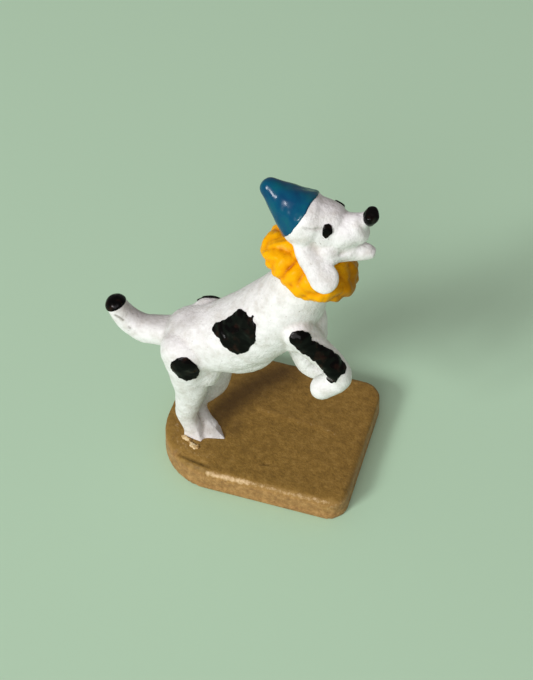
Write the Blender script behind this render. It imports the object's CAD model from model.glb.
# Looks of the cast lead circus dog: the painted casting, its enamel dabs, cap, ruff and slab.
# Pieces are modelled in millimetres, and hand_over turns them to metres.
# X runs from the tail to the nose, Y from the dog's right side to its left, Z is up.

from math import atan2, cos, exp, pi, radians, sin

import bpy
import numpy as np
from mathutils import Matrix, Vector, noise


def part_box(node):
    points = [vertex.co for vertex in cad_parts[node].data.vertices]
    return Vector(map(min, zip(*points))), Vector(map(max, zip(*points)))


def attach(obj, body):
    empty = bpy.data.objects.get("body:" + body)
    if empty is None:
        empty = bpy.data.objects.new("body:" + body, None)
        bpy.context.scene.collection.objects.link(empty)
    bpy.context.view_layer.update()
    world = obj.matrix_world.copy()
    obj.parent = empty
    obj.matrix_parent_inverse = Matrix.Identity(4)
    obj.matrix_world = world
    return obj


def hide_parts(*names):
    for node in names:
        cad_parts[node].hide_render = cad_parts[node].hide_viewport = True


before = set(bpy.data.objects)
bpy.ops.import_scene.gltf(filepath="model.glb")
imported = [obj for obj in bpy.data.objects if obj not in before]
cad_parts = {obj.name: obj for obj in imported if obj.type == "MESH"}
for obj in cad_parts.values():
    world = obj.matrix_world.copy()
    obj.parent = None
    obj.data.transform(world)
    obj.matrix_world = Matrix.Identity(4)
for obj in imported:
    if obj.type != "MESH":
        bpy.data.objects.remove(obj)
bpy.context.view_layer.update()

MM = 0.001

# Places read from the frame
SLAB_LOW, SLAB_HIGH = (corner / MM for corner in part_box("slab_base"))
TORSO_LOW, TORSO_HIGH = (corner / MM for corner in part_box("torso"))
DECK = SLAB_HIGH.z
MIDLINE = (TORSO_LOW.y + TORSO_HIGH.y) / 2

# Armature of the casting
HIPS = Vector((-8.0, MIDLINE, DECK + 15.0))
CHEST = HIPS + Vector((10.6, 0, 7.5))
COLLAR = HIPS + Vector((12.9, 0, 12.6))
POLL = HIPS + Vector((13.4, 0, 16.6))
SKULL = POLL + Vector((0, 0, 2.9))
HEAD_PITCH = radians(10)

# Grain of the modelling
CASTING_VOXEL = 0.16
DAB_VOXEL = 0.075
CAP_VOXEL = 0.1
RUFF_VOXEL = 0.12
SLAB_VOXEL = 0.17
# How far each smoothing pass moves a vertex towards the middle of its neighbours
SETTLE = 0.5
TUBE_SIDES = 16
# A subdivided ring of that many sides draws in by this share
TUBE_DRAW = (2 + cos(2 * pi / TUBE_SIDES)) / 3
# Degrees round a tube's rounded end at which its rings lie
END_TURNS = (32, 58, 78)

# Camera, from the photograph's viewing angle
CAMERA_PLACE = Vector((28.3, -91.03, 118.85))
CAMERA_AIM = Vector((-4.84, 14.72, 0.0))
CAMERA_LENS = 68.82
BACK = (CAMERA_PLACE - CAMERA_AIM).normalized()
RIGHT = Vector((0, 0, 1)).cross(BACK).normalized()
UP = BACK.cross(RIGHT)


# Operator helpers

def pick(piece):
    """Make one piece the selected and active one."""
    bpy.ops.object.select_all(action="DESELECT")
    piece.select_set(True)
    bpy.context.view_layer.objects.active = piece


def edit(piece):
    """Open a piece in edit mode with nothing selected."""
    pick(piece)
    bpy.ops.object.mode_set(mode="EDIT")
    bpy.ops.mesh.select_mode(type="VERT")
    bpy.ops.mesh.select_all(action="DESELECT")


def choose(piece, test):
    """Select the vertices whose place passes a test, from inside edit mode."""
    bpy.ops.object.mode_set(mode="OBJECT")
    for vertex in piece.data.vertices:
        vertex.select = test(vertex.co)
    bpy.ops.object.mode_set(mode="EDIT")


def close(piece):
    """Leave edit mode with every face turned outwards, and rest the place in the mesh."""
    bpy.ops.mesh.select_all(action="SELECT")
    bpy.ops.mesh.normals_make_consistent(inside=False)
    bpy.ops.object.mode_set(mode="OBJECT")
    pick(piece)
    bpy.ops.object.transform_apply(location=True, rotation=True, scale=True)
    return piece


def modify(piece, kind, **settings):
    """Add a modifier with its settings and apply it."""
    pick(piece)
    bpy.ops.object.modifier_add(type=kind)
    modifier = piece.modifiers[-1]
    for key, value in settings.items():
        setattr(modifier, key, value)
    bpy.ops.object.modifier_apply(modifier=modifier.name)
    return piece


def join(name, pieces):
    """Join pieces into one object."""
    pick(pieces[0])
    for piece in pieces[1:]:
        piece.select_set(True)
    bpy.ops.object.join()
    joined = bpy.context.object
    joined.name = name
    return joined


def twin(piece, name):
    """A copy of a piece with its own mesh."""
    pick(piece)
    bpy.ops.object.duplicate()
    copy = bpy.context.object
    copy.name = name
    return copy


def settle(piece, passes):
    """Smooth a skin by this many passes."""
    return modify(piece, "SMOOTH", factor=SETTLE, iterations=passes)


def fuse(piece, voxel, passes):
    """Melt overlapping shapes into one skin and let it settle."""
    modify(piece, "REMESH", mode="VOXEL", voxel_size=voxel)
    return settle(piece, passes)


def lumps(piece, size, height, middle=0.5, octaves=0, group=""):
    """Raise and sink the skin by a noise of one size, with finer octaves where asked."""
    texture = bpy.data.textures.new(piece.name + "_lumps", "CLOUDS")
    texture.noise_scale = size
    texture.noise_depth = octaves
    return modify(piece, "DISPLACE", texture=texture, texture_coords="LOCAL", strength=height,
                  mid_level=middle, vertex_group=group)


def off_path(spot, path):
    """How far a point is from a path of straight stretches."""
    nearest = 1e9
    for a, b in zip(path, path[1:]):
        t = min(1.0, max(0.0, (spot - a).dot(b - a) / (b - a).length_squared))
        nearest = min(nearest, (spot - a.lerp(b, t)).length)
    return nearest


def crease(piece, path, width, depth):
    """Press a groove into the skin along a path."""
    path = [Vector(point) for point in path]
    low = [min(point[k] for point in path) - 2 * width for k in range(3)]
    high = [max(point[k] for point in path) + 2 * width for k in range(3)]
    for vertex in piece.data.vertices:
        spot = vertex.co
        if all(a < c < b for a, c, b in zip(low, spot, high)):
            vertex.co = spot - vertex.normal * depth * exp(-(off_path(spot, path) / width) ** 2)


# Tubes

def smooth_stations(stations, steps):
    """Stations along a smooth curve through the given ones, steps to each stretch."""
    first = [2 * a - b for a, b in zip(stations[0], stations[1])]
    last = [2 * a - b for a, b in zip(stations[-1], stations[-2])]
    knots = [first, *stations, last]
    out = []
    for k in range(1, len(knots) - 2):
        for j in range(steps):
            t = j / steps
            out.append([
                0.5 * (2 * b + (c - a) * t + (2 * a - 5 * b + 4 * c - d) * t ** 2
                       + (3 * b - a - 3 * c + d) * t ** 3)
                for a, b, c, d in zip(*knots[k - 1:k + 3])
            ])
    out.append(list(stations[-1]))
    return out


def rounded_rings(stations, bulges, steps):
    """Rings of centre, pitch, half depth and half width, drawn in to a round end at both ends."""
    curve = smooth_stations(stations, steps)
    centres = [Vector(place[:3]) for place in curve]
    rings = []
    for k, (x, y, z, deep, wide) in enumerate(curve):
        way = centres[min(k + 1, len(curve) - 1)] - centres[max(k - 1, 0)]
        rings.append((Vector((x, y, z)), atan2(way.x, way.z), deep, wide))
    for end, bulge in zip((0, -1), bulges):
        centre, pitch, deep, wide = rings[end]
        outward = Vector((sin(pitch), 0, cos(pitch))) * (-1 if end == 0 else 1)
        for turn in map(radians, END_TURNS):
            cap = (centre + outward * (bulge * deep * sin(turn)), pitch, deep * cos(turn), wide * cos(turn))
            rings.insert(0 if end == 0 else len(rings), cap)
    return rings


def tube(name, stations, bulges=(0.8, 0.8), steps=3):
    """A round-ended tube: a circle extruded ring by ring through stations of x, y, z and half sizes."""
    rings = rounded_rings(stations, bulges, steps)
    centre, pitch, deep, wide = rings[0]
    bpy.ops.object.select_all(action="DESELECT")
    bpy.ops.mesh.primitive_circle_add(
        vertices=TUBE_SIDES, radius=deep / TUBE_DRAW, fill_type="NGON", location=centre,
        rotation=(0, pitch, 0))
    piece = bpy.context.object
    piece.name = name
    bpy.ops.object.mode_set(mode="EDIT")
    bpy.ops.transform.resize(value=(1, wide / deep, 1), center_override=centre)
    for before, (centre, pitch, deep, wide) in zip(rings, rings[1:]):
        bpy.ops.mesh.extrude_region_move(TRANSFORM_OT_translate={"value": centre - before[0]})
        turn = (pitch - before[1] + pi) % (2 * pi) - pi
        bpy.ops.transform.rotate(value=-turn, orient_axis="Y", center_override=centre)
        grow = deep / before[2]
        bpy.ops.transform.resize(value=(grow, wide / before[3], grow), center_override=centre)
    close(piece)
    return modify(piece, "SUBSURF", levels=2, render_levels=2)


def blob(name, centre, radii, turn=(0, 0, 0)):
    """A lump of metal: a ball, sized and turned."""
    bpy.ops.object.select_all(action="DESELECT")
    bpy.ops.mesh.primitive_ico_sphere_add(
        subdivisions=4, radius=1, location=centre, rotation=turn, scale=radii)
    piece = bpy.context.object
    piece.name = name
    bpy.ops.object.transform_apply(location=True, rotation=True, scale=True)
    return piece


def head_point(forward, left, up):
    """A point measured from the skull's centre along the muzzle, to the left, and up."""
    return SKULL + Vector((forward * cos(HEAD_PITCH) - up * sin(HEAD_PITCH), left,
                           forward * sin(HEAD_PITCH) + up * cos(HEAD_PITCH)))


def place(point, half_depth, half_width):
    """One station of a tube."""
    return (*point, half_depth, half_width)


# The white casting

def torso():
    """Rump, barrel, chest and neck."""
    return tube("torso_metal", [
        place(HIPS, 3.2, 3.2),
        place(HIPS + Vector((5.2, 0, 1.8)), 3.98, 3.9),
        place(CHEST + Vector((-0.05, 0, 0.0)), 3.74, 3.72),
        place(COLLAR + Vector((-0.12, 0, 0.0)), 2.68, 2.85),
        place(POLL, 2.2, 2.2),
    ], bulges=(0.7, 0.6), steps=4)


def hind_leg(word):
    """A hind leg, thick at the haunch and pinched at the hock."""
    if word == "right":
        joints = ((15.0, 0.6, -1.9, 3.0), (12.0, 0.72, -2.1, 2.3), (9.2, 0.75, -2.0, 1.85),
                  (6.3, 0.3, -1.65, 1.5), (3.6, -0.2, -1.35, 1.22), (1.8, 0.15, -1.15, 1.05),
                  (0.5, 0.5, -1.1, 1.0))
    else:
        joints = ((14.7, 0.9, 1.9, 2.9), (10.5, 1.7, 1.9, 2.3), (7.2, 2.2, 1.75, 1.85),
                  (5.2, 1.4, 1.5, 1.45), (3.7, 0.5, 1.2, 1.12), (2.3, 0.5, 0.6, 1.0), (1.0, 1.5, 0.15, 0.95),
                  (0.3, 2.5, -0.1, 0.95))
    return tube(word + "_hind_leg_metal", [
        place(Vector((HIPS.x + reach, MIDLINE + out, DECK + height)), half, half * 0.9)
        for height, reach, out, half in joints
    ], bulges=(0.8, 0.3))


# Height of the ankle over the slab, its half width there, and how far the foot goes on down into the slab
ANKLE_HEIGHT, ANKLE_HALF, FOOT_ROOT = 2, 0.65, 1
# How far under the slab's top the feet are cut off flat
FEET_SUNK = 0.05
# Corners of each foot's sole on the slab: back near, front near, back far, front far; then the ankle's middle
SOLES = {
    "right": (((-8.6, -4.95), (-6.35, -5.3), (-8.5, -3.4), (-6.1, -3.6)), (-7.7, -4.2)),
    "left": (((-6.2, -4.7), (-3.75, -4.15), (-6.3, -2.0), (-4.95, -2.5)), (-7.0, -2.9)),
}


def foot(word):
    """The wedge-shaped foot that flares to a hard edge on the slab, and on down into it."""
    corners, (x, y) = SOLES[word]
    ankle = Vector((x, y, DECK + ANKLE_HEIGHT))
    middle = DECK + ANKLE_HEIGHT / 2
    bpy.ops.object.select_all(action="DESELECT")
    bpy.ops.mesh.primitive_cube_add(size=2, location=(0, 0, middle))
    piece = bpy.context.object
    piece.name = word + "_foot_metal"
    bpy.ops.object.transform_apply(location=True, rotation=True, scale=True)
    for vertex in piece.data.vertices:
        spot = vertex.co
        corner = corners[(spot.x > 0) + 2 * (spot.y > 0)]
        if spot.z < middle:
            vertex.co = (*corner, DECK)
        else:
            vertex.co = ankle + Vector((spot.x * ANKLE_HALF, spot.y * ANKLE_HALF, 0))
    edit(piece)
    choose(piece, lambda spot: spot.z < middle)
    bpy.ops.mesh.extrude_region_move(TRANSFORM_OT_translate={"value": (0, 0, -FOOT_ROOT)})
    return close(piece)


def foreleg(word):
    """A foreleg from the shoulder to the knuckled paw."""
    if word == "right":
        joints = ((2.2, -2.7, -0.2, 1.75), (4.2, -2.4, -2.4, 1.42), (6.4, -2.1, -5.1, 1.3),
                  (6.5, -2.1, -6.6, 1.27), (4.8, -2.15, -8.35, 1.34))
    else:
        joints = ((0.6, 2.2, -2.6, 1.7), (0.7, 2.3, -5.2, 1.5), (1.35, 2.1, -7.9, 1.38),
                  (2.15, 2.1, -9.7, 1.3), (3.0, 2.1, -10.25, 1.25), (3.9, 2.1, -10.35, 1.2))
    return tube(word + "_foreleg_metal", [
        place(CHEST + Vector(joint[:3]), joint[3], joint[3]) for joint in joints
    ], bulges=(0.9, 0.9))


def tail():
    """The thick tail, lifted at its tip."""
    return tube("tail_metal", [
        place(HIPS + Vector((reach, 0, lift)), half, half) for reach, lift, half in (
            (-1.0, 0.2, 1.8), (-3.4, -0.2, 1.65), (-5.1, -0.42, 1.54), (-6.65, 0.35, 1.38),
            (-7.6, 1.5, 1.22), (-8.1, 2.45, 1.12))
    ], bulges=(0.5, 0.62))


def skull():
    """Skull, cheeks and upper muzzle."""
    return tube("skull_metal", [
        place(head_point(-1.05, 0, -0.3), 2.06, 1.92),
        place(head_point(0.2, 0, 0.0), 2.75, 2.4),
        place(head_point(1.6, 0, -0.1), 2.4, 2.22),
        place(head_point(2.8, 0, -0.5), 1.86, 1.78),
        place(head_point(3.95, 0, -0.28), 1.6, 1.44),
        place(head_point(4.73, 0, -0.08), 1.55, 1.26),
    ], bulges=(0.8, 0.26))


def jaw():
    """The open lower jaw, and the throat that it grows from."""
    return [
        tube("jaw_metal", [
            place(head_point(1.0, 0, -2.95), 1.25, 1.75),
            place(head_point(3.0, 0, -2.95), 0.98, 1.4),
            place(head_point(4.85, 0, -3.02), 0.84, 0.95),
        ], bulges=(1.0, 0.98)),
        blob("throat_metal", head_point(0.3, 0, -2.6), (2.2, 1.9, 1.7)),
        blob("jaw_hinge_metal", head_point(2.5, 0, -2.45), (1.9, 1.85, 1.1), (0, -HEAD_PITCH, 0)),
    ]


def ear(word):
    """A hanging ear: a flat tube that widens to a round lobe, laid over the side of the head."""
    side = -1 if word == "right" else 1
    flap = tube(word + "_ear_metal", [
        place(Vector((forward, 0, -depth)), wide, thick) for depth, forward, wide, thick in (
            (-0.6, 0.1, 0.8, 0.5), (0.0, 0.0, 0.95, 0.52), (1.5, -0.27, 1.02, 0.55),
            (3.0, -0.03, 1.28, 0.55), (4.25, 0.2, 1.5, 0.55))
    ], bulges=(0.6, 0.95))
    hang = Vector((0.607, side * 0.394, -0.690)).normalized()
    outward = Vector((0.58, side * 0.82, 0))
    across = outward.cross(hang).normalized() * -side
    flap.matrix_world = (Matrix.Translation(head_point(-0.63, side * 2.0, -0.4))
                         @ Matrix((across, across.cross(hang), -hang)).transposed().to_4x4())
    pick(flap)
    bpy.ops.object.transform_apply(location=True, rotation=True, scale=True)
    return flap


CAP_RIM = head_point(-0.85, 0, 1.05)
CAP_AXIS = Vector((-0.858, 0.138, 0.495)).normalized()
# The way that the cap's rim sags, down over the right side of the head
CAP_SAG = Vector((-0.4, -0.74, -0.54))
# Across the cap, towards its near side and towards the temple, between which the paint stops short
CAP_NEAR = (BACK - CAP_AXIS * BACK.dot(CAP_AXIS)).normalized()
CAP_TEMPLE = CAP_AXIS.cross(CAP_NEAR)


def cap_core():
    """The pointed cap in the casting, tipped back off the skull and blunt at its tip."""
    return tube("cap_metal", [
        place(CAP_RIM + CAP_AXIS * along + CAP_SAG * sag, half, half) for along, sag, half in (
            (-1.4, 0.25, 2.5), (-0.5, 0.25, 2.66), (0.0, 0.25, 2.68), (0.8, 0.22, 2.34), (1.9, 0.16, 1.86),
            (3.0, 0.12, 1.36), (4.0, 0.12, 0.94))
    ], bulges=(0.4, 0.9))


# Joins that are worked softer, at the mouth's corner and at the groin: middle, reach and passes
SOFTENED = (
    (head_point(3.0, 0, -2.4), 2.6, 14),
    (HIPS + Vector((3.0, -2.4, -2.0)), 2.5, 40),
)
# Grooves in both sides of the head, as points ahead, out and up from the skull's centre, half width and depth
MOUTH_LINE = (((4.9, 1.0, -2.0), (3.8, 1.5, -2.0), (2.9, 1.8, -2.0)), 0.22, 0.2)
EAR_FRONT = (((0.5, 2.5, -0.5), (0.7, 2.7, -1.7), (1.4, 3.0, -2.7)), 0.45, 0.09)
# The fine crease from the right temple to the eye
EYE_CREASE = (((5.6, -5.3, 38.6), (7.0, -5.6, 39.5)), 0.14, 0.09)


def casting():
    """Everything that is cast in white, fused to one skin with softened joins."""
    pieces = [torso(), tail(), skull(), *jaw()]
    for word in ("right", "left"):
        pieces += [hind_leg(word), foot(word), foreleg(word), ear(word)]
    pieces += [
        cap_core(),
        blob("left_hip_metal", HIPS + Vector((2.2, 1.8, 1.5)), (2.5, 1.7, 2.6)),
        blob("belly_metal", HIPS + Vector((5.6, 0, 0.9)), (4.9, 3.2, 3.7), (0, -radians(22), 0)),
        blob("groin_metal", HIPS + Vector((2.75, -1.35, -2.8)), (1.5, 1.7, 2.3)),
        blob("breast_metal", CHEST + Vector((1.4, 0, -1.5)), (3.0, 3.1, 3.6), (0, -radians(30), 0)),
        blob("shoulder_metal", CHEST + Vector((2.9, -0.4, -1.9)), (1.55, 2.3, 2.4), (0, -radians(30), 0)),
        blob("right_muzzle_metal", head_point(2.7, -0.75, -0.45), (2.0, 1.25, 1.45), (0, -HEAD_PITCH, 0)),
        blob("muzzle_tip_metal", head_point(4.95, 0.35, 0.6), (0.62, 0.95, 0.72), (0, -HEAD_PITCH, 0)),
        blob("right_cheek_metal", head_point(1.3, -1.5, -2.2), (1.6, 1.2, 1.4)),
        blob("left_cheek_metal", head_point(1.3, 1.5, -2.2), (1.6, 1.2, 1.4)),
    ]
    dog = join("dog_casting", pieces)
    fuse(dog, CASTING_VOXEL, 10)
    edit(dog)
    bpy.ops.mesh.select_all(action="SELECT")
    bpy.ops.mesh.bisect(
        plane_co=(0, 0, DECK - FEET_SUNK), plane_no=(0, 0, 1), clear_inner=True, use_fill=True)
    close(dog)
    for centre, reach, passes in SOFTENED:
        edit(dog)
        choose(dog, lambda spot: (spot - centre).length < reach)
        bpy.ops.mesh.vertices_smooth(factor=SETTLE, repeat=passes)
        close(dog)
    lumps(dog, 1.9, 0.12)
    lumps(dog, 0.55, 0.06, octaves=1)
    for side in (-1, 1):
        for path, width, depth in (MOUTH_LINE, EAR_FRONT):
            crease(dog, [head_point(ahead, side * out, up) for ahead, out, up in path], width, depth)
    crease(dog, *EYE_CREASE)
    return dog


# Finish helpers

def linear(code):
    """An sRGB hex colour as linear red, green, blue and alpha."""
    parts = [int(code[k:k + 2], 16) / 255 for k in (0, 2, 4)]
    return (*[c / 12.92 if c <= 0.04045 else ((c + 0.055) / 1.055) ** 2.4 for c in parts], 1.0)


def per_mm(size):
    """The scale that gives a pattern features of this many millimetres on Object coordinates."""
    return 1 / (size * MM)


# Index of refraction of a paint's binder
PAINT_IOR = 1.5
# A Mix node's two colours and its mixed colour, by their places among its sockets, because the names repeat
UNDER, OVER, MIXED = 6, 7, 2


def add(tree, kind, inputs=None, stops=(), **settings):
    """Add a node: settings are its own properties, inputs set or link its sockets, stops colour a ramp."""
    node = tree.nodes.new(kind)
    for key, value in settings.items():
        setattr(node, key, value)
    for key, value in (inputs or {}).items():
        if isinstance(value, bpy.types.NodeSocket):
            tree.links.new(value, node.inputs[key])
        else:
            node.inputs[key].default_value = value
    for k, (spot, code) in enumerate(stops):
        elements = node.color_ramp.elements
        element = elements[k] if k < 2 else elements.new(spot)
        element.position = spot
        element.color = linear(code)
    return node


def material(name, roughness, specular=0.5):
    """A new material with its gloss, its node tree, its shader and its Object coordinates."""
    made = bpy.data.materials.new(name)
    made.use_nodes = True
    tree = made.node_tree
    shader = tree.nodes["Principled BSDF"]
    shader.inputs["Roughness"].default_value = roughness
    shader.inputs["IOR"].default_value = PAINT_IOR
    shader.inputs["Specular IOR Level"].default_value = specular
    coords = add(tree, "ShaderNodeTexCoord").outputs["Object"]
    return made, tree, shader, coords


def hollows(piece, passes):
    """Store how many millimetres deep in a hollow each vertex lies, for paint that pools or wears."""
    mesh = piece.data
    count = len(mesh.vertices)
    spots = np.empty(count * 3)
    mesh.vertices.foreach_get("co", spots)
    normals = np.empty(count * 3)
    mesh.vertices.foreach_get("normal", normals)
    ends = np.empty(len(mesh.edges) * 2, int)
    mesh.edges.foreach_get("vertices", ends)
    spots, normals, ends = spots.reshape(-1, 3), normals.reshape(-1, 3), ends.reshape(-1, 2)
    here, there = np.concatenate((ends, ends[:, ::-1])).T
    neighbours = np.maximum(np.bincount(here, minlength=count), 1)
    soft = spots.copy()
    for _ in range(passes):
        soft = np.stack([np.bincount(here, soft[there, k], count) / neighbours for k in range(3)], 1)
    store = mesh.attributes.new("hollow", "FLOAT", "POINT")
    store.data.foreach_set("value", ((soft - spots) * normals).sum(1).astype(np.float32))
    return piece


# Marks on the white paint: a path in millimetres, its half width, and how dark it is
STAINS = (
    (((-15.71, -4.3, 19.86), (-15.27, -4.3, 19.69), (-14.84, -4.3, 19.37)), 0.11, 0.9),
    (((-14.09, -4.6, 18.83), (-13.95, -4.6, 18.7)), 0.13, 0.7),
    (((-9.73, -4.4, 19.08), (-8.54, -4.4, 20.52), (-7.13, -4.4, 22.16)), 0.8, 0.28),
    (((-14.6, -3.6, 20.8), (-12.6, -3.6, 19.9), (-10.4, -3.6, 19.9)), 1.0, 0.4),
    (((5.0, -5.5, 38.87), (5.85, -5.5, 38.97), (6.69, -5.5, 39.32)), 0.1, 0.4),
    (((5.9, -4.0, 41.05), (7.4, -4.0, 40.4)), 0.7, 0.08),
    (((-4.3, -2.5, 11.2), (-4.95, -2.5, 9.6), (-5.9, -2.5, 8.2), (-6.65, -2.5, 6.5), (-6.9, -2.5, 4.9)),
     0.9, 0.42),
    (((-6.7, -2.5, 3.85), (-6.15, -2.5, 2.3), (-5.5, -2.5, 1.3)), 0.8, 0.42),
)


def sighted(spot, depth):
    """The point at this depth from the camera that lies on the same sight line."""
    sight = spot - CAMERA_PLACE
    return CAMERA_PLACE + sight * (depth / sight.dot(BACK))


def stains(piece):
    """Store how stained the paint is at each vertex: fixed marks, each laid on along one sight line."""
    store = piece.data.attributes.new("stain", "FLOAT", "POINT")
    for path, width, strength in STAINS:
        middle = sum((Vector(point) for point in path), Vector()) / len(path)
        depth = (middle - CAMERA_PLACE).dot(BACK)
        path = [sighted(Vector(point), depth) for point in path]
        reach = max((point - middle).length for point in path) + 3
        for vertex in piece.data.vertices:
            if (vertex.co - middle).length < reach and vertex.normal.dot(BACK) > 0.1:
                near = strength * exp(-(off_path(sighted(vertex.co, depth), path) / width) ** 2)
                store.data[vertex.index].value = max(store.data[vertex.index].value, near)


def white_paint():
    """Brushed white oil paint: satin, stippled, greyer in clouds, with warm grime in its hollows."""
    made, tree, shader, coords = material("brushed_white_paint", 0.45)
    cloud = add(tree, "ShaderNodeTexNoise", {"Vector": coords, "Scale": per_mm(1.1), "Detail": 5.0,
                                             "Roughness": 0.6})
    tone = add(tree, "ShaderNodeValToRGB", {"Fac": cloud.outputs["Fac"]},
               stops=((0.33, "dddbd6"), (0.5, "ececea"), (0.64, "f5f5f4"))).outputs["Color"]
    hollow = add(tree, "ShaderNodeAttribute", attribute_name="hollow").outputs["Fac"]
    grime = add(tree, "ShaderNodeMapRange", {"Value": hollow, "From Min": 0.02, "From Max": 0.3,
                                             "To Max": 0.7})
    soiled = add(tree, "ShaderNodeMix", {"Factor": grime.outputs["Result"], UNDER: tone,
                                         OVER: linear("a0937c")}, data_type="RGBA").outputs[MIXED]
    stain = add(tree, "ShaderNodeAttribute", attribute_name="stain").outputs["Fac"]
    stained = add(tree, "ShaderNodeMix", {"Factor": stain, UNDER: soiled, OVER: linear("6d675a")},
                  data_type="RGBA").outputs[MIXED]
    fleck = add(tree, "ShaderNodeTexNoise", {"Vector": coords, "Scale": per_mm(0.4), "Detail": 3.0})
    speck = add(tree, "ShaderNodeValToRGB", {"Fac": fleck.outputs["Fac"]},
                stops=((0.25, "8d8676"), (0.31, "ffffff"))).outputs["Color"]
    mixed = add(tree, "ShaderNodeMix", {"Factor": 0.55, UNDER: stained, OVER: speck}, data_type="RGBA",
                blend_type="MULTIPLY")
    tree.links.new(mixed.outputs[MIXED], shader.inputs["Base Color"])
    # A real brush leaves marks about 0.1 mm wide, too fine to show, so they are drawn four times as coarse
    stipple = add(tree, "ShaderNodeTexNoise", {"Vector": coords, "Scale": per_mm(0.42), "Detail": 6.0,
                                               "Roughness": 0.65})
    bump = add(tree, "ShaderNodeBump", {"Height": stipple.outputs["Fac"], "Strength": 1.0,
                                        "Distance": 0.13 * MM})
    tree.links.new(bump.outputs["Normal"], shader.inputs["Normal"])
    return made


def black_enamel():
    """Thick black enamel: glassy, a little brown where it thins, pulled into soft lumps."""
    made, tree, shader, coords = material("black_enamel_dabs", 0.2, 0.11)
    thin = add(tree, "ShaderNodeTexNoise", {"Vector": coords, "Scale": per_mm(1.1), "Detail": 2.0})
    tone = add(tree, "ShaderNodeValToRGB", {"Fac": thin.outputs["Fac"]},
               stops=((0.4, "010101"), (0.55, "040302"), (0.72, "22120c"))).outputs["Color"]
    tree.links.new(tone, shader.inputs["Base Color"])
    pull = add(tree, "ShaderNodeTexNoise", {"Vector": coords, "Scale": per_mm(1.2), "Detail": 1.0})
    bump = add(tree, "ShaderNodeBump", {"Height": pull.outputs["Fac"], "Strength": 0.8,
                                        "Distance": 0.32 * MM})
    tree.links.new(bump.outputs["Normal"], shader.inputs["Normal"])
    return made


def teal_enamel():
    """Teal blue enamel: glossy, greener where the coat is thin."""
    made, tree, shader, coords = material("teal_enamel_gloss", 0.18, 0.22)
    pool = add(tree, "ShaderNodeTexNoise", {"Vector": coords, "Scale": per_mm(2.2), "Detail": 3.0})
    tone = add(tree, "ShaderNodeValToRGB", {"Fac": pool.outputs["Fac"]},
               stops=((0.36, "004064"), (0.5, "004d6b"), (0.66, "005a69"))).outputs["Color"]
    tree.links.new(tone, shader.inputs["Base Color"])
    pull = add(tree, "ShaderNodeTexNoise", {"Vector": coords, "Scale": per_mm(1.4), "Detail": 1.0})
    bump = add(tree, "ShaderNodeBump", {"Height": pull.outputs["Fac"], "Strength": 0.6,
                                        "Distance": 0.3 * MM})
    tree.links.new(bump.outputs["Normal"], shader.inputs["Normal"])
    return made


def amber_paint():
    """Amber paint on a crumpled casting: yellow on the ridges, orange where it pooled, brown at the front."""
    made, tree, shader, coords = material("amber_paint_pooled", 0.36, 0.11)
    hollow = add(tree, "ShaderNodeAttribute", attribute_name="hollow").outputs["Fac"]
    depth = add(tree, "ShaderNodeMapRange", {"Value": hollow, "From Min": -0.12, "From Max": 0.16})
    tone = add(tree, "ShaderNodeValToRGB", {"Fac": depth.outputs["Result"]},
               stops=((0.2, "f8b000"), (0.5, "eb9d00"), (0.85, "bd6b00"))).outputs["Color"]
    stain = add(tree, "ShaderNodeAttribute", attribute_name="stain").outputs["Fac"]
    browned = add(tree, "ShaderNodeMix", {"Factor": stain, UNDER: tone, OVER: linear("ac7400")},
                  data_type="RGBA").outputs[MIXED]
    tree.links.new(browned, shader.inputs["Base Color"])
    grain = add(tree, "ShaderNodeTexNoise", {"Vector": coords, "Scale": per_mm(0.3), "Detail": 4.0})
    bump = add(tree, "ShaderNodeBump", {"Height": grain.outputs["Fac"], "Strength": 0.5,
                                        "Distance": 0.08 * MM})
    tree.links.new(bump.outputs["Normal"], shader.inputs["Normal"])
    return made


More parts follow.
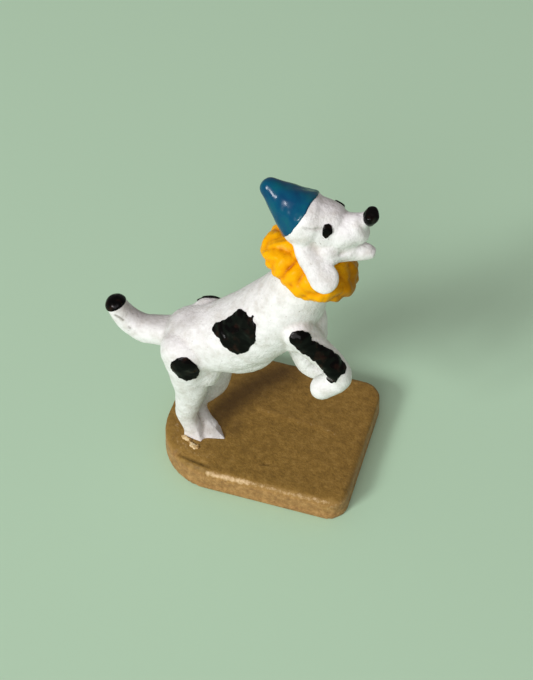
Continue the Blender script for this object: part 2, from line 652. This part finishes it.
def brown_paint():
    """Olive brown paint on the slab: dull and grainy, paler on the sides, dark where it is thick, golden
    where it thins, and worn to cream along the front edge."""
    made, tree, shader, coords = material("brown_paint_worn", 0.5, 0.3)
    mottle = add(tree, "ShaderNodeTexNoise", {"Vector": coords, "Scale": per_mm(0.7), "Detail": 8.0,
                                              "Roughness": 0.75})
    tone = add(tree, "ShaderNodeValToRGB", {"Fac": mottle.outputs["Fac"]},
               stops=((0.34, "775b25"), (0.5, "8a6b2e"), (0.66, "9b7b3d"))).outputs["Color"]
    flank = add(tree, "ShaderNodeValToRGB", {"Fac": mottle.outputs["Fac"]},
                stops=((0.34, "866339"), (0.5, "a17a47"), (0.64, "b9905a"))).outputs["Color"]
    height = add(tree, "ShaderNodeSeparateXYZ", {"Vector": coords}).outputs["Z"]
    below = add(tree, "ShaderNodeMapRange", {"Value": height, "From Min": (DECK - 0.25) * MM,
                                             "From Max": (DECK - 0.75) * MM})
    side = add(tree, "ShaderNodeMix", {"Factor": below.outputs["Result"], UNDER: tone, OVER: flank},
               data_type="RGBA").outputs[MIXED]
    wear = add(tree, "ShaderNodeAttribute", attribute_name="wear").outputs["Fac"]
    pooled = add(tree, "ShaderNodeMapRange", {"Value": wear, "From Max": -0.7, "To Max": 0.75})
    dark = add(tree, "ShaderNodeMix", {"Factor": pooled.outputs["Result"], UNDER: side,
                                       OVER: linear("4b3514")}, data_type="RGBA").outputs[MIXED]
    thinned = add(tree, "ShaderNodeMapRange", {"Value": wear, "From Max": 0.7, "To Max": 0.5})
    golden = add(tree, "ShaderNodeMix", {"Factor": thinned.outputs["Result"], UNDER: dark,
                                         OVER: linear("a8823e")}, data_type="RGBA").outputs[MIXED]
    chips = add(tree, "ShaderNodeTexNoise", {"Vector": coords, "Scale": per_mm(0.45), "Detail": 5.0,
                                             "Roughness": 0.7})
    patchy = add(tree, "ShaderNodeMath", {0: chips.outputs["Fac"], 1: 1.6, 2: wear}, operation="MULTIPLY_ADD")
    rubbed = add(tree, "ShaderNodeMapRange", {"Value": patchy.outputs["Value"], "From Min": 1.2,
                                              "From Max": 1.7, "To Max": 0.9})
    worn = add(tree, "ShaderNodeMix", {"Factor": rubbed.outputs["Result"], UNDER: golden,
                                       OVER: linear("e2c598")}, data_type="RGBA").outputs[MIXED]
    tree.links.new(worn, shader.inputs["Base Color"])
    grain = add(tree, "ShaderNodeTexNoise", {"Vector": coords, "Scale": per_mm(0.3), "Detail": 6.0,
                                             "Roughness": 0.6})
    bump = add(tree, "ShaderNodeBump", {"Height": grain.outputs["Fac"], "Strength": 0.9,
                                        "Distance": 0.12 * MM})
    tree.links.new(bump.outputs["Normal"], shader.inputs["Normal"])
    return made


def hand_over(piece, finish, slot, *nodes):
    """Turn a finished piece to metres, paint it, and hang it on the frame in place of its nodes."""
    pick(piece)
    bpy.ops.object.transform_apply(location=True, rotation=True, scale=True)
    piece.scale = (MM, MM, MM)
    bpy.ops.object.transform_apply(location=True, rotation=True, scale=True)
    bpy.ops.object.shade_smooth()
    piece.data.materials.clear()
    piece.data.materials.append(finish)
    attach(piece, "root")
    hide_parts(*nodes)


# Enamel dabs

# Outlines of the dabs, in millimetres to the right and up from their middles
FLANK_OUTLINE = ((-2.4, 0.1), (-2.1, 0.75), (-0.9, 1.2), (-0.2, 1.6), (0.3, 2.05), (0.9, 2.0), (1.35, 1.7),
                 (1.45, 1.2), (1.75, 1.55), (2.1, 1.4), (1.95, 0.8), (2.3, 0.4), (2.1, 0.0), (2.3, -0.7),
                 (2.0, -1.5), (1.2, -2.35), (0.3, -2.6), (-0.5, -2.3), (-1.4, -1.7), (-1.7, -1.0),
                 (-2.3, -0.5))
THIGH_OUTLINE = ((-2.0, 0.5), (-1.3, 1.05), (-0.4, 1.3), (0.4, 1.05), (1.1, 0.3), (1.35, -0.4), (0.9, -1.15),
                 (-0.1, -1.45), (-1.0, -1.1), (-1.8, -0.3))
STRIPE_OUTLINE = ((-3.05, 1.85), (-2.6, 2.55), (-1.65, 2.7), (-0.85, 2.45), (-0.5, 1.65), (0.15, 1.37),
                  (1.3, 0.75), (2.25, 0.05), (2.97, -0.88), (3.05, -1.3), (2.8, -1.8), (2.35, -2.15),
                  (2.0, -2.7), (1.5, -2.8), (1.08, -2.45), (0.85, -1.9), (0.3, -1.25), (-0.4, -0.5),
                  (-1.3, 0.07), (-2.0, 0.6), (-2.7, 1.2))
EYE_OUTLINE = ((-0.58, -0.12), (-0.46, 0.32), (-0.2, 0.62), (0.22, 0.7), (0.56, 0.52), (0.69, 0.12),
               (0.58, -0.3), (0.4, -0.6), (0.12, -0.82), (-0.24, -0.8), (-0.48, -0.52))
# Cells across a dab's grid for each millimetre of its reach, and how far off the casting it starts
DAB_CELLS = 18
DAB_LIFT = 4
# How far a dab's edge strays for its reach, the most that it strays, and its waves for each millimetre
STRAY, STRAY_MOST, STRAY_WAVES = 0.045, 0.1, 3.2
# A dab's shell for each millimetre of coat: half of it lies in the casting, and melting takes some off
DAB_SHELL = 2.4


def inside(spot, outline):
    """Whether a flat point lies inside an outline."""
    odd = False
    for (x1, y1), (x2, y2) in zip(outline, outline[1:] + outline[:1]):
        if (y1 > spot.y) != (y2 > spot.y) and spot.x < x1 + (spot.y - y1) * (x2 - x1) / (y2 - y1):
            odd = not odd
    return odd


def dab(name, outline, centre, facing, thickness, host):
    """A brushed dab of enamel: a ragged outline laid on the casting, thickened, and rounded at its rim."""
    reach = max(max(abs(x), abs(y)) for x, y in outline) + 0.3
    bpy.ops.object.select_all(action="DESELECT")
    cells = round(reach * DAB_CELLS)
    bpy.ops.mesh.primitive_grid_add(x_subdivisions=cells, y_subdivisions=cells, size=reach * 2)
    puddle = bpy.context.object
    puddle.name = name
    stray = min(STRAY_MOST, reach * STRAY)

    def bare(spot):
        wave = spot * STRAY_WAVES
        ragged = spot + Vector((noise.noise(wave + centre), noise.noise(wave - centre), 0)) * stray
        return not inside(ragged, outline)

    edit(puddle)
    choose(puddle, bare)
    bpy.ops.mesh.delete(type="VERT")
    bpy.ops.object.mode_set(mode="OBJECT")
    right, up, out = facing
    turn = Matrix((right, up, out)).transposed().to_4x4()
    puddle.matrix_world = Matrix.Translation(centre + out * DAB_LIFT) @ turn
    bpy.context.view_layer.update()
    modify(puddle, "SHRINKWRAP", target=host, wrap_method="PROJECT", use_project_z=True,
           use_negative_direction=True, use_positive_direction=False)
    bpy.ops.object.transform_apply(location=True, rotation=True, scale=True)
    settle(puddle, 6)
    modify(puddle, "SOLIDIFY", thickness=thickness * DAB_SHELL, offset=0.0)
    fuse(puddle, DAB_VOXEL, 6)
    return lumps(puddle, 0.9, thickness * 1.1)


def leftward(lift):
    """Right, up and outward for a dab on the dog's left side, turned up by this angle."""
    out = Vector((0, cos(lift), sin(lift)))
    right = Vector((-1, 0, 0))
    return right, out.cross(right), out


# Where the tail's end is cut from the casting's twin: points from the hips, and the way that is cut away
TAIL_CUTS = (((-5.6, 0, 0), (1, 0, 0)), ((-7.79, 0, 2.38), (0.45, 0, -0.89)))
TAIL_COAT = 0.12


def tail_tip(host):
    """The end of the tail dipped in enamel: the casting's own end, grown by the coat."""
    end = twin(host, "tail_tip_enamel")
    edit(end)
    for spot, way in TAIL_CUTS:
        bpy.ops.mesh.select_all(action="SELECT")
        bpy.ops.mesh.bisect(plane_co=HIPS + Vector(spot), plane_no=way, clear_outer=True, use_fill=True)
    bpy.ops.mesh.select_all(action="SELECT")
    bpy.ops.transform.shrink_fatten(value=TAIL_COAT)
    close(end)
    return fuse(end, DAB_VOXEL, 5)


# How much the nose widens and narrows for each millimetre over and under its middle, how far its upper part
# leans forward, and how high its flat top is
NOSE_SPREAD, NOSE_PINCH, NOSE_LEAN, NOSE_TOP = 0.2, 0.42, 0.1, 0.66


def nose():
    """The nose: a thick blunt wedge of enamel, broad and flat on top, pointed below."""
    centre = head_point(5.6, 0.22, 1.02)
    piece = blob("nose_enamel", centre, (0.74, 1.0, 1.0), (0, -HEAD_PITCH, 0))
    for vertex in piece.data.vertices:
        spot = vertex.co - centre
        pinch = 1.0 + (NOSE_SPREAD if spot.z > 0 else NOSE_PINCH) * spot.z
        lean = NOSE_LEAN * spot.z
        vertex.co = centre + Vector((spot.x * min(1.0, pinch) + lean, spot.y * pinch,
                                     min(spot.z, NOSE_TOP + lean)))
    fuse(piece, DAB_VOXEL, 6)
    return lumps(piece, 0.6, 0.12)


# Cap

# The height under which nothing of the casting's twin is kept for the cap, and the thickness of its coat
CAP_FLOOR = 35.4
CAP_COAT = 0.1
# The strip along the rim that wanders, how far it strays, and how much it rises at the near temple
RIM_STRIP, RIM_STRAY, RIM_RISE = 0.8, 0.3, 0.6


def cap(host):
    """The cap's coat: the casting's own cone above a hand-painted rim, grown by the enamel."""
    coat = twin(host, "cap_enamel")
    edit(coat)
    for spot, way in ((Vector((0, 0, CAP_FLOOR)), (0, 0, -1)), (CAP_RIM, -CAP_AXIS)):
        bpy.ops.mesh.select_all(action="SELECT")
        bpy.ops.mesh.bisect(plane_co=spot, plane_no=way, clear_outer=True, use_fill=True)
    bpy.ops.mesh.select_all(action="SELECT")
    bpy.ops.transform.shrink_fatten(value=CAP_COAT)
    close(coat)
    for vertex in coat.data.vertices:
        spot = vertex.co - CAP_RIM
        along = spot.dot(CAP_AXIS)
        if along < RIM_STRIP:
            across = (spot - CAP_AXIS * along).normalized()
            wander = (noise.noise(vertex.co * 0.7) * RIM_STRAY
                      + RIM_RISE * max(0.0, across.dot(CAP_NEAR)) * max(0.0, across.dot(CAP_TEMPLE)))
            vertex.co += CAP_AXIS * wander * (RIM_STRIP - max(along, 0)) / RIM_STRIP
    fuse(coat, CAP_VOXEL, 14)
    return lumps(coat, 1.3, 0.11)


# Ruff

# Middle of the ruff's section before it is spun, its half sizes, its slant, and the ruff's lean on the neck
RUFF_SECTION = Vector((3.25, 0, 1.1))
RUFF_HALVES = (1.15, 1, 1.8)
RUFF_SLANT = radians(36)
RUFF_LEAN = radians(19)
# Where the ruff was crushed or pulled: degrees round the neck from the chest, and how far out
RUFF_PULLS = ((0, 0.14), (60, 0.0), (120, 0.1), (165, 0.1), (195, 0.3), (218, -0.1), (242, -0.38),
              (268, -0.2), (300, 0.06), (335, 0.24), (360, 0.14))
# The ruff's inner radius, where the pulls start, and how much further out they are felt in full
PULL_FROM, PULL_OVER = 2.2, 1.8
# Radius on which the folds are drawn so that they run outwards, and their size
FOLD_RING, FOLD_SIZE = 3.6, 1.05
# Mean of the noise that folds the ruff, taken off so that the skin sinks as much as it rises
FOLD_MIDDLE = 0.2
# The way to the front of the ruff, and the reach along it where the paint turns brown and is brown in full
BROWNED_WAY = Vector((0.9, 0.0, -0.3))
BROWNED_FROM, BROWNED_OVER = 2.2, 1.6


def ruff():
    """The crumpled ruff: a slanted section spun round the neck, pulled about and pinched in soft lumps."""
    centre = COLLAR.lerp(POLL, 0.4)
    bpy.ops.object.select_all(action="DESELECT")
    bpy.ops.mesh.primitive_circle_add(vertices=18, radius=1, location=RUFF_SECTION, rotation=(pi / 2, 0, 0))
    piece = bpy.context.object
    piece.name = "ruff_paint"
    bpy.ops.object.mode_set(mode="EDIT")
    bpy.ops.transform.resize(value=RUFF_HALVES, center_override=RUFF_SECTION)
    bpy.ops.transform.rotate(value=RUFF_SLANT, orient_axis="Y", center_override=RUFF_SECTION)
    bpy.ops.mesh.spin(steps=96, angle=2 * pi, center=(0, 0, 0), axis=(0, 0, 1))
    bpy.ops.mesh.select_all(action="SELECT")
    bpy.ops.mesh.remove_doubles(threshold=0.001)
    close(piece)
    degrees, pulls = zip(*RUFF_PULLS)
    for vertex in piece.data.vertices:
        spot = vertex.co
        out = spot.xy.length
        pull = float(np.interp(atan2(spot.y, spot.x) * 180 / pi % 360, degrees, pulls))
        felt = min(1.0, max(0.0, (out - PULL_FROM) / PULL_OVER))
        vertex.co += Vector((spot.x, spot.y, 0)) / out * pull * felt
    fuse(piece, RUFF_VOXEL, 2)
    ways = [vertex.normal.copy() for vertex in piece.data.vertices]
    for vertex, way in zip(piece.data.vertices, ways):
        spot = vertex.co
        ring = Vector((spot.x, spot.y, 0)) * (FOLD_RING / spot.xy.length)
        outward = Vector((0, 0, (spot.xy.length + spot.z) / (2 * FOLD_SIZE)))
        fold = abs(noise.noise(ring / FOLD_SIZE + outward)) - FOLD_MIDDLE
        pinch = abs(noise.noise(spot * 0.58 + Vector((7, 3, 1)))) - FOLD_MIDDLE
        crumple = abs(noise.noise(spot * 1.15)) - FOLD_MIDDLE
        vertex.co = spot + way * (0.3 * fold + 0.6 * pinch + 0.2 * crumple)
    settle(piece, 4)
    piece.rotation_euler = (0, RUFF_LEAN, 0)
    piece.location = centre
    bpy.ops.object.transform_apply(location=True, rotation=True, scale=True)
    lumps(piece, 0.35, 0.05, octaves=1)
    shade = piece.data.attributes.new("stain", "FLOAT", "POINT")
    for vertex in piece.data.vertices:
        forward = (vertex.co - centre).dot(BROWNED_WAY)
        shade.data[vertex.index].value = min(1.0, max(0.0, (forward - BROWNED_FROM) / BROWNED_OVER))
    return hollows(piece, 24)


# Slab

# Rounds of the slab's rear and front corners, and of its top edge
REAR_ROUND, FRONT_ROUND, EDGE_ROUND = 7.2, 2.4, 0.9
# The top edge is round along the near side and grows squarer from this Y, over this width, by this share
SQUARE_FROM, SQUARE_OVER, SQUARE_SHARE = -7, 5, 0.8
# The height under which the slab's sides stay plain
PLAIN_FOOT = 0.6
# Paths of what is worked into the slab's top: a lip and a trough by the near edge, a low ridge, and a nick
LIP = ((-9.2, -7.8), (-8.1, -8.0), (-6.8, -8.4), (-5.3, -8.6), (-4.3, -8.9))
TROUGH = ((-8.5, -7.4), (-6.8, -7.8), (-5.1, -8.1))
RIDGE = ((-1.2, 1.2), (2.3, 1.0), (6.0, 0.8), (7.9, 0.2))
NICK = ((1.5, -6.1), (1.9, -5.9))
BEAD = ((-8.5, -5.1), (-7.8, -5.55), (-7.1, -6.05), (-6.45, -6.35))
# How many crumbs the bead is pressed from, and the seed of their places
CRUMBS, CRUMB_SEED = 40, 5
# Wear of the brown paint: a path, its half width, and how far the paint is thinned and rubbed through there,
# or below zero how thick and dark it lies
WEAR = (
    (((-4.2, -9.1, DECK - 0.35), (0.4, -9.1, DECK - 0.35)), 0.42, 0.8),
    (((0.4, -9.1, DECK - 0.35), (9.6, -9.0, DECK - 0.35)), 0.4, 0.5),
    (((9.4, -9.2, DECK - 1.0), (10.4, -8.8, DECK - 1.0)), 0.6, 0.4),
    (((-9.9, -3.6, DECK - 0.1), (-8.9, -5.8, DECK), (-6.8, -6.9, DECK), (-5.0, -7.0, DECK)), 1.2, 0.35),
    (tuple((x, y, DECK) for x, y in RIDGE), 0.4, 0.32),
    (((-1.4, 1.3, DECK), (-0.6, 1.1, DECK)), 0.5, 0.34),
    (((-5.0, 0.4, DECK), (-4.4, 2.5, DECK), (-2.9, 5.1, DECK), (-0.8, 7.4, DECK)), 1.7, -0.6),
    (((-3.3, -2.6, DECK), (-3.2, -1.4, DECK)), 0.8, -0.4),
)


def press(piece, path, width, height):
    """Raise a soft ridge, or sink a groove, along a path on the slab's top."""
    path = [Vector(point) for point in path]
    for vertex in piece.data.vertices:
        if vertex.co.z > DECK - 0.7:
            vertex.co.z += height * exp(-(off_path(vertex.co.xy, path) / width) ** 2)


def slab():
    """The thick slab: a block with a round rear, soft top edges, and an uneven hand-rubbed top."""
    size = SLAB_HIGH - SLAB_LOW
    bpy.ops.object.select_all(action="DESELECT")
    bpy.ops.mesh.primitive_cube_add(size=1, location=(SLAB_LOW + SLAB_HIGH) / 2, scale=size)
    piece = bpy.context.object
    piece.name = "slab_paint"
    bpy.ops.object.transform_apply(location=True, rotation=True, scale=True)
    for end, radius, steps in ((-1, REAR_ROUND, 16), (1, FRONT_ROUND, 8)):
        edit(piece)
        bpy.ops.mesh.select_mode(type="EDGE")
        bpy.ops.object.mode_set(mode="OBJECT")
        for e in piece.data.edges:
            a, b = (piece.data.vertices[k].co for k in e.vertices)
            e.select = abs(a.z - b.z) > 1 and min(a.x * end, b.x * end) > size.x / 2 - 0.01
        bpy.ops.object.mode_set(mode="EDIT")
        bpy.ops.mesh.bevel(offset=radius, segments=steps, affect="EDGES")
        bpy.ops.object.mode_set(mode="OBJECT")
    edit(piece)
    choose(piece, lambda spot: spot.z > DECK - 0.01)
    bpy.ops.mesh.bevel(offset=EDGE_ROUND, segments=5, affect="EDGES")
    close(piece)
    for vertex in piece.data.vertices:
        rise = (vertex.co.z - DECK) / EDGE_ROUND + 1
        if 0 < rise < 1:
            square = 1 - SQUARE_SHARE * min(1.0, max(0.0, (vertex.co.y - SQUARE_FROM) / SQUARE_OVER))
            vertex.co.z = DECK + EDGE_ROUND * (rise ** square - 1)
    fuse(piece, SLAB_VOXEL, 3)
    group = piece.vertex_groups.new(name="upper")
    group.add([v.index for v in piece.data.vertices if v.co.z > PLAIN_FOOT], 1.0, "REPLACE")
    lumps(piece, 4.0, 0.18, middle=0.75, octaves=2, group="upper")
    lumps(piece, 0.8, 0.06, middle=0.75, octaves=2, group="upper")
    for vertex in piece.data.vertices:
        vertex.co = [min(b, max(a, c)) for a, c, b in zip(SLAB_LOW, vertex.co, SLAB_HIGH)]
    press(piece, LIP, 0.35, 0.16)
    press(piece, TROUGH, 0.4, -0.22)
    press(piece, RIDGE, 0.5, 0.06)
    press(piece, NICK, 0.16, -0.25)
    worn = piece.data.attributes.new("wear", "FLOAT", "POINT")
    for path, width, strength in WEAR:
        path = [Vector(point) for point in path]
        for vertex in piece.data.vertices:
            if vertex.co.z > 1:
                near = strength * exp(-(off_path(vertex.co, path) / width) ** 2)
                if abs(near) > abs(worn.data[vertex.index].value):
                    worn.data[vertex.index].value = near
    return piece


def bead():
    """The crumbly line of filler by the right hind foot, pressed on in small lumps."""
    crumbs = []
    noise.seed_set(CRUMB_SEED)
    for k in range(CRUMBS):
        t = k / (CRUMBS - 1) * (len(BEAD) - 1)
        stretch = min(int(t), len(BEAD) - 2)
        a, b = BEAD[stretch:stretch + 2]
        spot = Vector((*a, 0)).lerp(Vector((*b, 0)), t - stretch)
        stray = noise.noise_vector(Vector((k * 1.7, 0.3, 0))) * 0.32
        size = 0.17 + 0.24 * abs(noise.noise(Vector((k * 2.3, 5, 0))))
        middle = (spot.x + stray.x, spot.y + stray.y, DECK + 0.02)
        crumbs.append(blob("crumb", middle, (size, size, size * 0.5)))
    line = join("foot_filler_paint", crumbs)
    fuse(line, DAB_VOXEL, 2)
    return lumps(line, 0.3, 0.12, octaves=1)


def filler_paint():
    """Cream filler under a thin wash of the slab's brown: matt, and blotched pale and brown."""
    made, tree, shader, coords = material("cream_filler_washed", 0.8)
    wash = add(tree, "ShaderNodeTexNoise", {"Vector": coords, "Scale": per_mm(0.5), "Detail": 4.0})
    tone = add(tree, "ShaderNodeValToRGB", {"Fac": wash.outputs["Fac"]},
               stops=((0.4, "8a6a35"), (0.5, "c2a168"), (0.62, "e6d3a8"))).outputs["Color"]
    tree.links.new(tone, shader.inputs["Base Color"])
    return made


# Stage, camera and light

def stage():
    """A plain pale floor."""
    bpy.ops.object.select_all(action="DESELECT")
    bpy.ops.mesh.primitive_plane_add(size=4)
    floor = bpy.context.object
    floor.name = "floor"
    made, _, shader, _ = material("pale_sage_card", 0.9)
    shader.inputs["Base Color"].default_value = linear("c0e3c3")
    floor.data.materials.append(made)


def area_light(name, place_at, aim, size, power, colour):
    """A square soft light in metres, aimed at a point."""
    data = bpy.data.lights.new(name, "AREA")
    data.size = size
    data.energy = power
    data.color = linear(colour)[:3]
    lamp = bpy.data.objects.new(name, data)
    bpy.context.scene.collection.objects.link(lamp)
    lamp.location = place_at
    lamp.rotation_euler = (Vector(aim) - Vector(place_at)).to_track_quat("-Z", "Y").to_euler()


def light():
    """A soft key low on the front left, a broad light in front, and a dim even sky with a touch of rose."""
    middle = (0.0, -0.003, 0.018)
    area_light("key", (-0.62, -1.04, 0.69), middle, 0.34, 11.2, "fffeff")
    area_light("front", (-0.1, -1.3, 0.8), middle, 0.8, 7.4, "fff8fc")
    world = bpy.data.worlds.new("sky")
    world.use_nodes = True
    sky = world.node_tree.nodes["Background"]
    sky.inputs["Color"].default_value = linear("ece1e1")
    sky.inputs["Strength"].default_value = 0.37
    bpy.context.scene.world = world


def camera():
    """The camera, at the photograph's viewing angle."""
    data = bpy.data.cameras.new("camera")
    data.lens = CAMERA_LENS
    data.sensor_width = 36.0
    data.clip_start = 0.001
    eye = bpy.data.objects.new("camera", data)
    bpy.context.scene.collection.objects.link(eye)
    eye.location = CAMERA_PLACE * MM
    eye.rotation_euler = (CAMERA_AIM - CAMERA_PLACE).to_track_quat("-Z", "Y").to_euler()
    bpy.context.scene.camera = eye
    bpy.context.scene.view_settings.view_transform = "Standard"


def build():
    """Model, paint and hang every piece."""
    white = white_paint()
    black = black_enamel()
    dog = casting()
    seen = (RIGHT, UP, BACK)
    dabs = (
        ("right_flank_spot", FLANK_OUTLINE, Vector((-1.5, -6.5, 24.4)), seen, 0.14),
        ("right_thigh_spot", THIGH_OUTLINE, Vector((-6.4, -7.8, 18.3)), seen, 0.13),
        ("right_foreleg_stripe", STRIPE_OUTLINE, Vector((7.3, -6.95, 23.7)), seen, 0.13),
        ("right_eye", EYE_OUTLINE, Vector((7.24, -5.5, 39.34)), seen, 0.16),
        ("left_eye", EYE_OUTLINE, Vector((7.35, -1.2, 38.7)), leftward(radians(34)), 0.14),
        ("left_flank_spot", FLANK_OUTLINE, Vector((-5.75, 0.15, 20.35)), leftward(radians(42)), 0.13),
        ("left_thigh_spot", THIGH_OUTLINE, Vector((-7.2, 1.4, 17.0)), leftward(radians(10)), 0.13),
    )
    for node, outline, centre, facing, thickness in dabs:
        hand_over(dab(node + "_enamel", outline, centre, facing, thickness, dog), black, "black_enamel", node)
    hand_over(tail_tip(dog), black, "black_enamel", "tail_tip")
    hand_over(nose(), black, "black_enamel", "nose")
    cap_coat = cap(dog)
    hollows(dog, 30)
    stains(dog)
    hand_over(dog, white, "white_paint", "torso", "tail", "head", "lower_jaw", "right_hind_leg",
              "left_hind_leg", "right_foreleg", "left_foreleg", "right_ear", "left_ear")
    hand_over(cap_coat, teal_enamel(), "teal_enamel", "cap")
    hand_over(ruff(), amber_paint(), "amber_paint", "ruff")
    hand_over(slab(), brown_paint(), "brown_paint", "slab_base")
    hand_over(bead(), filler_paint(), "brown_paint", "foot_filler")


build()
stage()
light()
camera()
